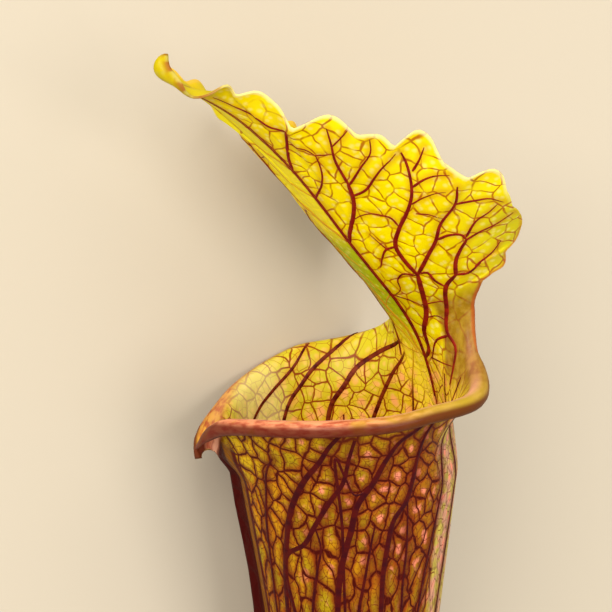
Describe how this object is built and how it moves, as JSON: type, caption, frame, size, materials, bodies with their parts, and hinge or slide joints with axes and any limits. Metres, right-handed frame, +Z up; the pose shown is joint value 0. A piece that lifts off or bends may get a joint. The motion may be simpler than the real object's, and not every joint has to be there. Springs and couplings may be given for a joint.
{
  "type": "pitcher plant leaf",
  "caption": "Tall tubular trap leaf of a yellow pitcher plant with rolled lip, drooping spout and ruffled veined hood, picked at its base and lying on its side.",
  "frame": {"origin": "centre of the bounding box on the surface that the leaf lies on", "axes": "+Y along the leaf from its cut base to the hood, +Z up, -X towards the spout side"},
  "size_m": [0.0884, 0.3832, 0.0742],
  "materials": {
    "leaf": "satin"
  },
  "bodies": {
    "root": {"pitcher_leaf": "leaf"}
  },
  "joints": []
}
